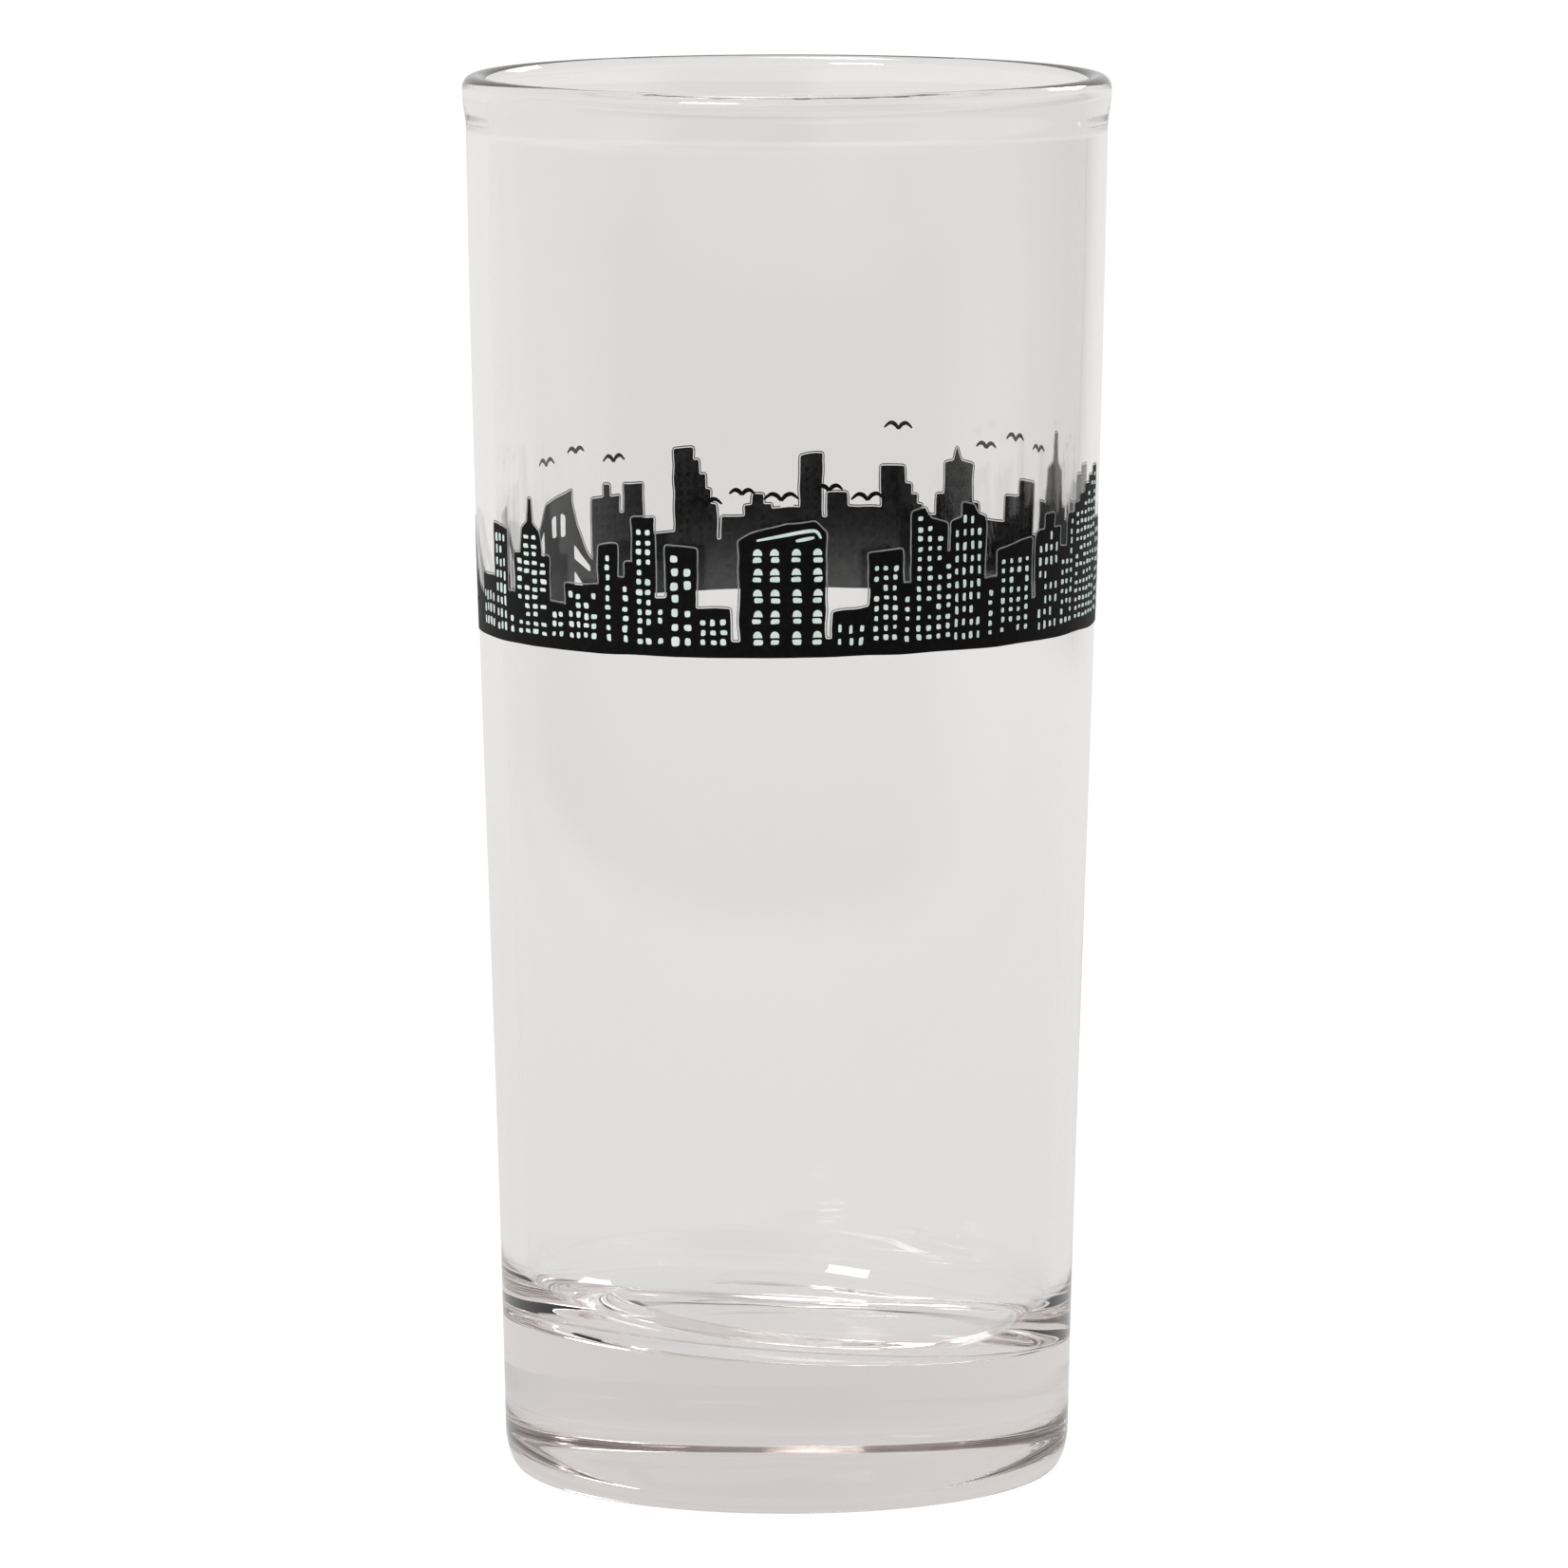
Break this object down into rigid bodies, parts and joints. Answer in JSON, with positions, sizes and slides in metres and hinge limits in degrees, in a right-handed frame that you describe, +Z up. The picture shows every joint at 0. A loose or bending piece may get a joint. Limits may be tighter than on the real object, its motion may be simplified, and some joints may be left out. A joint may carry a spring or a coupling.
{
  "type": "shot glass",
  "caption": "Tall, slightly flared shot glass with a heavy base, a beaded rim and a city skyline band with lit windows and birds in fired enamel.",
  "frame": {"origin": "centre of the resting ring, in the plane the glass stands on", "axes": "+Z up along the glass's turning axis, from the base to the rim; -Y towards the front tower of the print; +X to the right of someone who faces it"},
  "size_m": [0.044, 0.044, 0.0955],
  "materials": {
    "glass": "polished, clear with a faint grey-green tint",
    "black_enamel": "satin black glass enamel, fired on",
    "pale_enamel": "satin pale mint glass enamel, fired on"
  },
  "bodies": {
    "root": {"front_bird_1": "black_enamel", "front_bird_2": "black_enamel", "front_bird_3": "black_enamel", "front_bird_4": "black_enamel", "front_bird_5": "black_enamel", "glass_body": "glass", "left_bird_1": "black_enamel", "left_bird_2": "black_enamel", "left_bird_3": "black_enamel", "right_bird_1": "black_enamel", "right_bird_2": "black_enamel", "right_bird_3": "black_enamel", "right_bird_4": "black_enamel", "roof_stroke_1": "pale_enamel", "roof_stroke_2": "pale_enamel", "skyline_ink": "black_enamel", "window_arch_01": "pale_enamel", "window_arch_02": "pale_enamel", "window_arch_03": "pale_enamel", "window_arch_04": "pale_enamel", "window_arch_05": "pale_enamel", "window_arch_06": "pale_enamel", "window_arch_07": "pale_enamel", "window_arch_08": "pale_enamel", "window_arch_09": "pale_enamel", "window_arch_10": "pale_enamel", "window_arch_11": "pale_enamel", "window_arch_12": "pale_enamel", "window_arch_13": "pale_enamel", "window_arch_14": "pale_enamel", "window_arch_15": "pale_enamel", "window_arch_16": "pale_enamel", "window_arch_17": "pale_enamel", "window_arch_18": "pale_enamel", "window_arch_19": "pale_enamel", "window_arch_20": "pale_enamel", "window_sill_01": "pale_enamel", "window_sill_02": "pale_enamel", "window_sill_03": "pale_enamel", "window_sill_04": "pale_enamel", "window_sill_05": "pale_enamel", "window_sill_06": "pale_enamel", "window_sill_07": "pale_enamel", "window_sill_08": "pale_enamel", "window_sill_09": "pale_enamel", "window_sill_10": "pale_enamel", "window_sill_11": "pale_enamel", "window_sill_12": "pale_enamel", "window_sill_13": "pale_enamel", "window_sill_14": "pale_enamel", "window_sill_15": "pale_enamel", "window_sill_16": "pale_enamel", "window_sill_17": "pale_enamel", "window_sill_18": "pale_enamel", "window_sill_19": "pale_enamel", "window_sill_20": "pale_enamel"}
  },
  "joints": []
}
